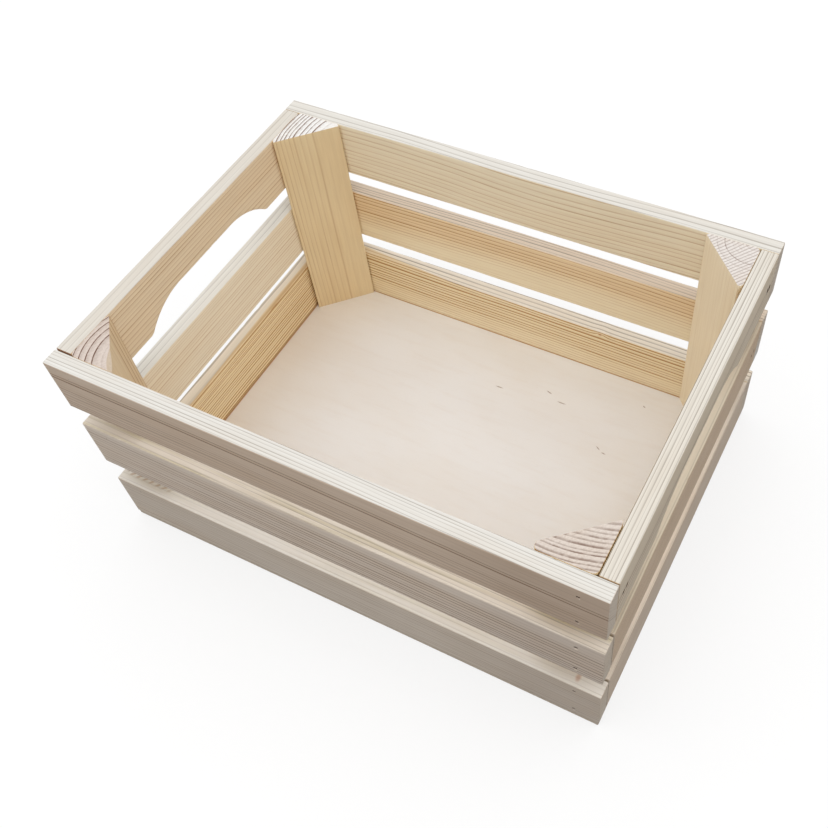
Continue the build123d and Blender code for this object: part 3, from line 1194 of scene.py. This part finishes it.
def mesh_object(name, mesh):
    """New object in the scene from a built mesh."""
    data = bpy.data.meshes.new(name)
    mesh.to_mesh(data)
    mesh.free()
    return linked_object(name, data)


def work_in(piece, tool_mesh, operation):
    """Puts a tool's mesh onto a piece or cuts it out, and stops if that left no mark."""
    tool = mesh_object(f"{piece.name}_tool", tool_mesh)
    tool_data = tool.data
    work = piece.modifiers.new("tool", "BOOLEAN")
    work.object = tool
    work.operation = operation
    work.solver = "EXACT"
    plain = piece.data
    depsgraph = bpy.context.evaluated_depsgraph_get()
    worked = bpy.data.meshes.new_from_object(piece.evaluated_get(depsgraph))
    if len(worked.polygons) <= len(plain.polygons):
        raise RuntimeError(f"a tool left no mark on {piece.name}")
    piece.modifiers.clear()
    piece.data = worked
    bpy.data.objects.remove(tool)
    bpy.data.meshes.remove(tool_data)
    bpy.data.meshes.remove(plain)


def finished_object(name, mesh, cutter=None, tufts=None):
    """Object from a built mesh, with tufts put on, a cutter taken out and its sharp edges marked."""
    piece = mesh_object(name, mesh)
    if tufts:
        work_in(piece, tufts, "UNION")
    if cutter:
        work_in(piece, cutter, "DIFFERENCE")
    piece.data.name = name
    piece.data.shade_smooth()
    piece.data.set_sharp_from_angle(angle=SHARP_ANGLE)
    return piece


def settle(piece, node, material):
    """Gives a piece its material and puts it in its CAD node's stead."""
    piece.data.materials.clear()
    piece.data.materials.append(material)
    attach(piece, "root")
    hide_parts(node)


def slat_pits(side, low, high, back, surface, tearing):
    """Pits over the brads of one slat, in the slat's own frame."""
    pits = []
    for brad_low, brad_high in brad_boxes(f"{side}_brads"):
        if low.z < (brad_low.z + brad_high.z) / 2 < high.z:
            a = back @ brad_low
            b = back @ brad_high
            head = (a + b) / 2
            half = (b - a) / 2
            depth = surface - max(a.y, b.y) + HEAD_CLEARANCE
            torn = tearing[0 if head.x < 0 else 1]
            pits.append(Pit(head.x, head.z, depth, abs(half.x), abs(half.z), torn))
    return pits


def make_slat(side, course, seed):
    """One slat, with pits over its brads."""
    node = f"{side}_{course}_slat"
    figure = SLAT_FIGURES[node]
    low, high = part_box(node)
    size = high - low
    length, thickness = (size.x, size.y) if side in LONG_SIDES else (size.y, size.x)
    surface = thickness / 2
    upper_edge = size.z / 2
    turn = Matrix.Rotation(math.radians(OUTWARD_TURN[side]), 4, "Z")
    nudge = turn @ Vector((0, *figure.nudge)) * MM
    place = Matrix.Translation((low + high) / 2 + nudge) @ turn
    pits = slat_pits(side, low, high, place.inverted(), surface, figure.pits)
    has_grip = side in ENDS and course == "top"
    mesh = slat_mesh(length / 2, surface, upper_edge, figure.short, seed, has_grip)
    if side in ENDS:
        cutter = pit_mesh(pits, surface, seed, END_PIT_TEAR)
        piece = finished_object(f"{node}_board", mesh, cutter)
    else:
        cutter = pit_mesh(pits, surface, seed)
        piece = finished_object(f"{node}_board", mesh, cutter, tuft_mesh(pits, surface, seed))
    piece.matrix_world = place
    pit_x = sum(abs(pit.x) for pit in pits) / len(pits)
    pit_z = sum(abs(pit.z) for pit in pits) / len(pits)
    wood = pine(f"Pine {node}", figure, seed, (pit_x, surface, pit_z), upper_edge)
    settle(piece, node, wood)


def make_slats(sides, first_seed):
    """The slats of two sides, each with a seed of its own."""
    for i, side in enumerate(sides):
        for j, course in enumerate(COURSES):
            make_slat(side, course, first_seed + len(COURSES) * i + j)


class CRATE_OT_long_slats(bpy.types.Operator):
    """Builds the six long slats of the front and back"""

    bl_idname = "crate.long_slats"
    bl_label = "Long slats"

    def execute(self, context):
        make_slats(LONG_SIDES, LONG_SLAT_SEED)
        return {"FINISHED"}


class CRATE_OT_end_slats(bpy.types.Operator):
    """Builds the six short slats of the two ends, with a hand-hold in each top one"""

    bl_idname = "crate.end_slats"
    bl_label = "End slats"

    def execute(self, context):
        make_slats(ENDS, END_SLAT_SEED)
        return {"FINISHED"}


def post_outline(half, arris, legs):
    """Section of a post as (x, y) points: a rounded square sawn across, with its square corner at +X +Y."""
    tip = half - arris
    corners = (
        arc((tip, tip), arris, 90, -90),
        arc((tip, -tip), arris, 0, -90),
        arc((-tip, -tip), arris, -90, -90),
        arc((-tip, tip), arris, 180, -90),
    )
    square = [Vector(point) for point in closed_outline(corners, POST_FILLS)]
    first = Vector((half, half - legs[1]))
    across = Vector((half - legs[0], half)) - first
    kept = []
    for here, after in zip(square, square[1:] + square[:1]):
        here_side = across.cross(here - first)
        after_side = across.cross(after - first)
        if here_side <= 0:
            kept.append(tuple(here))
        if (here_side <= 0) != (after_side <= 0):
            sawn = tuple(here.lerp(after, here_side / (here_side - after_side)))
            if after_side <= 0:
                kept += between(kept[-1], sawn, SAWN_FILL)
            kept.append(sawn)
    return kept


# Funnel that cuts a chipped post's top: how far it reaches above and below, and how it leans
CHIP_RISE = 1.0 * MM
CHIP_FALL = 9.0 * MM
CHIP_SLOPE = 0.75


def chip_mesh(chip, top):
    """Cutter for a chip that has split off a post's top along an arc: a steep funnel."""
    mesh = bmesh.new()
    x, y, radius = metres(chip)
    funnel = Matrix.Translation((top + (CHIP_RISE - CHIP_FALL) / 2, x, y))
    funnel @= Matrix.Rotation(math.pi / 2, 4, "Y")
    bmesh.ops.create_cone(
        mesh,
        cap_ends=True,
        segments=CHIP_SEGMENTS,
        radius1=radius - CHIP_SLOPE * CHIP_FALL,
        radius2=radius + CHIP_SLOPE * CHIP_RISE,
        depth=CHIP_RISE + CHIP_FALL,
        matrix=funnel,
    )
    return mesh


def make_post(side, end, seed):
    """One corner post, its length along the object's own X."""
    shape = bpy.context.scene.crate_shape
    node = f"{side}_{end}_post"
    figure = POST_FIGURES[node]
    low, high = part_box(node)
    size = high - low
    sign_x = 1 if end == "right" else -1
    sign_y = 1 if side == "back" else -1
    half_height = size.z / 2
    steps = round(size.z / (2 * shape.slat_step))
    outline = post_outline(size.x / 2, shape.post_arris, metres(figure.legs))
    middle = sum((Vector(point) for point in outline), Vector((0, 0))) / len(outline)
    rings = []
    for x in stations(half_height, shape.saw_edge, steps):
        inset = shape.saw_edge / size.x if abs(x) == half_height else 0.0
        points = [Vector(point).lerp(middle, inset) for point in outline]
        rings.append([(x, sign_x * point.x, sign_y * point.y) for point in points])
    cutter = chip_mesh(figure.chip, half_height) if figure.chip else None
    piece = finished_object(f"{node}_timber", tubes([rings]), cutter)
    upright = Matrix(((0, 1, 0, 0), (0, 0, 1, 0), (1, 0, 0, 0), (0, 0, 0, 1)))
    nudge = Vector((sign_x * figure.nudge[0], sign_y * figure.nudge[1], 0)) * MM
    piece.matrix_world = Matrix.Translation((low + high) / 2 + nudge) @ upright
    settle(piece, node, pine(f"Pine {node}", figure, seed))


class CRATE_OT_corner_posts(bpy.types.Operator):
    """Builds the four triangular corner posts"""

    bl_idname = "crate.corner_posts"
    bl_label = "Corner posts"

    def execute(self, context):
        for i, side in enumerate(LONG_SIDES):
            for j, end in enumerate(ENDS):
                make_post(side, end, POST_SEED + len(ENDS) * i + j)
        return {"FINISHED"}


class CRATE_OT_bottom_panel(bpy.types.Operator):
    """Builds the plywood bottom, with pits over the brads on its underside"""

    bl_idname = "crate.bottom_panel"
    bl_label = "Plywood bottom"

    def execute(self, context):
        saw_edge = context.scene.crate_shape.saw_edge
        low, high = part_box("bottom_panel")
        half = (high - low) / 2
        middle = (low + high) / 2
        arrises = [saw_edge] * 4
        rings = []
        for x in stations(half.x, saw_edge, PANEL_STEPS):
            trim = saw_edge if abs(x) == half.x else 0.0
            outline = board_outline(half.y - trim, -half.z + trim, half.z - trim, arrises, PANEL_FILLS)
            rings.append([(x, y, z) for y, z in outline])
        pits = []
        for brad_low, brad_high in brad_boxes("bottom_brads"):
            head = (brad_low + brad_high) / 2 - middle
            reach = (brad_high - brad_low) / 2
            depth = brad_low.z - low.z + HEAD_CLEARANCE
            pits.append(Pit(head.x, -head.y, depth, reach.x, reach.y, 1.0))
        cutter = pit_mesh(pits, half.z, PANEL_SEED)
        downwards = Matrix.Rotation(-math.pi / 2, 3, "X")
        bmesh.ops.rotate(cutter, verts=cutter.verts, cent=(0, 0, 0), matrix=downwards)
        piece = finished_object("bottom_panel_plywood", tubes([rings]), cutter)
        piece.location = middle
        settle(piece, "bottom_panel", plywood())
        return {"FINISHED"}


class CRATE_OT_brads(bpy.types.Operator):
    """Gives the wire brads their steel"""

    bl_idname = "crate.brads"
    bl_label = "Wire brads"

    def execute(self, context):
        steel = brad_steel()
        for group in (*LONG_SIDES, *ENDS, "bottom"):
            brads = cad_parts[f"{group}_brads"]
            brads.data.materials.clear()
            brads.data.materials.append(steel)
        return {"FINISHED"}


# Stage: half the floor's width, how far it lies under the crate, and the camera's sensor in millimetres
FLOOR_SIZE = 6.0
FLOOR_DROP = 0.2 * MM
SENSOR_WIDTH = 36.0
WHITE = (1.0, 1.0, 1.0, 1.0)


def seen_directly(sheet):
    """Share that is 1 where the camera, a reflection or clear matter looks straight at the surface."""
    path = sheet.add("ShaderNodeLightPath").outputs
    return sheet.most(path["Is Camera Ray"], path["Is Glossy Ray"], path["Is Transmission Ray"])


def floor_material(stage):
    """Pale floor that keeps a soft shadow."""
    material = bpy.data.materials.new("Pale floor")
    sheet = new_sheet(material)
    bounce = sheet.add("ShaderNodeBsdfDiffuse")
    bounce.inputs["Color"].default_value = opaque([stage.floor_bounce] * 3)
    shown = sheet.add("ShaderNodeBsdfDiffuse")
    shown.inputs["Color"].default_value = WHITE
    white = sheet.add("ShaderNodeEmission")
    clear = 1.0 - stage.floor_shadow
    pale = sheet.fill(sheet.add("ShaderNodeMixShader"), clear, shown.outputs[0], white.outputs[0])
    both = sheet.fill(sheet.add("ShaderNodeMixShader"), seen_directly(sheet), bounce.outputs[0], pale)
    sheet.feed(sheet.add("ShaderNodeOutputMaterial").inputs["Surface"], both)
    return material


def lay_floor(stage):
    """Wide floor just under the crate."""
    mesh = bmesh.new()
    bmesh.ops.create_grid(mesh, x_segments=1, y_segments=1, size=FLOOR_SIZE)
    floor = mesh_object("floor", mesh)
    floor.location.z = cad_low.z - FLOOR_DROP
    floor.data.materials.append(floor_material(stage))


def light_room(stage):
    """Soft light from all round, strongest from above, on a white ground."""
    world = bpy.data.worlds.new("Studio")
    bpy.context.scene.world = world
    sheet = new_sheet(world)
    upwards = sheet.split(sheet.add("ShaderNodeTexCoord").outputs["Generated"])[2]
    above = sheet.times(sheet.most(upwards, 0.0), stage.overhead - stage.room)
    strength = sheet.add("ShaderNodeMix", data_type="FLOAT")
    sheet.feed(strength.inputs[0], seen_directly(sheet))
    sheet.feed(strength.inputs[2], sheet.plus(above, stage.room))
    sheet.feed(strength.inputs[3], 1.0)
    room = sheet.add("ShaderNodeBackground")
    room.inputs["Color"].default_value = WHITE
    sheet.feed(room.inputs["Strength"], strength.outputs[0])
    sheet.feed(sheet.add("ShaderNodeOutputWorld").inputs["Surface"], room.outputs[0])


def place_camera(stage):
    """Camera above the front right corner."""
    view = bpy.data.cameras.new("camera")
    view.sensor_width = SENSOR_WIDTH
    view.lens = stage.lens
    view.shift_x, view.shift_y = stage.shift
    camera = linked_object("camera", view)
    camera.location = stage.eye
    camera.rotation_euler = Euler(stage.aim)
    bpy.context.scene.camera = camera


class CRATE_OT_stage(bpy.types.Operator):
    """Sets the floor, the soft studio light and the camera"""

    bl_idname = "crate.stage"
    bl_label = "Stage"

    def execute(self, context):
        stage = context.scene.crate_stage
        context.scene.view_settings.view_transform = "Standard"
        lay_floor(stage)
        light_room(stage)
        place_camera(stage)
        return {"FINISHED"}


OPERATORS = (
    CRATE_OT_long_slats,
    CRATE_OT_end_slats,
    CRATE_OT_corner_posts,
    CRATE_OT_bottom_panel,
    CRATE_OT_brads,
    CRATE_OT_stage,
)


class CRATE_PT_sidebar(bpy.types.Panel):
    """Sizes, colours and build steps of the crate"""

    bl_idname = "CRATE_PT_sidebar"
    bl_label = "Slatted Pine Crate"
    bl_space_type = "VIEW_3D"
    bl_region_type = "UI"
    bl_category = "Crate"

    def draw(self, context):
        for group in (context.scene.crate_shape, context.scene.crate_finish, context.scene.crate_stage):
            box = self.layout.box()
            for name in group.__annotations__:
                box.prop(group, name)
        for operator in OPERATORS:
            self.layout.operator(operator.bl_idname)


CLASSES = (CrateShape, CrateFinish, CrateStage, *OPERATORS, CRATE_PT_sidebar)


def register():
    for cls in CLASSES:
        bpy.utils.register_class(cls)
    bpy.types.Scene.crate_shape = PointerProperty(type=CrateShape)
    bpy.types.Scene.crate_finish = PointerProperty(type=CrateFinish)
    bpy.types.Scene.crate_stage = PointerProperty(type=CrateStage)


def unregister():
    del bpy.types.Scene.crate_stage
    del bpy.types.Scene.crate_finish
    del bpy.types.Scene.crate_shape
    for cls in reversed(CLASSES):
        bpy.utils.unregister_class(cls)


def main():
    register()
    bpy.ops.crate.long_slats()
    bpy.ops.crate.end_slats()
    bpy.ops.crate.corner_posts()
    bpy.ops.crate.bottom_panel()
    bpy.ops.crate.brads()
    bpy.ops.crate.stage()


if __name__ == "__main__":
    main()
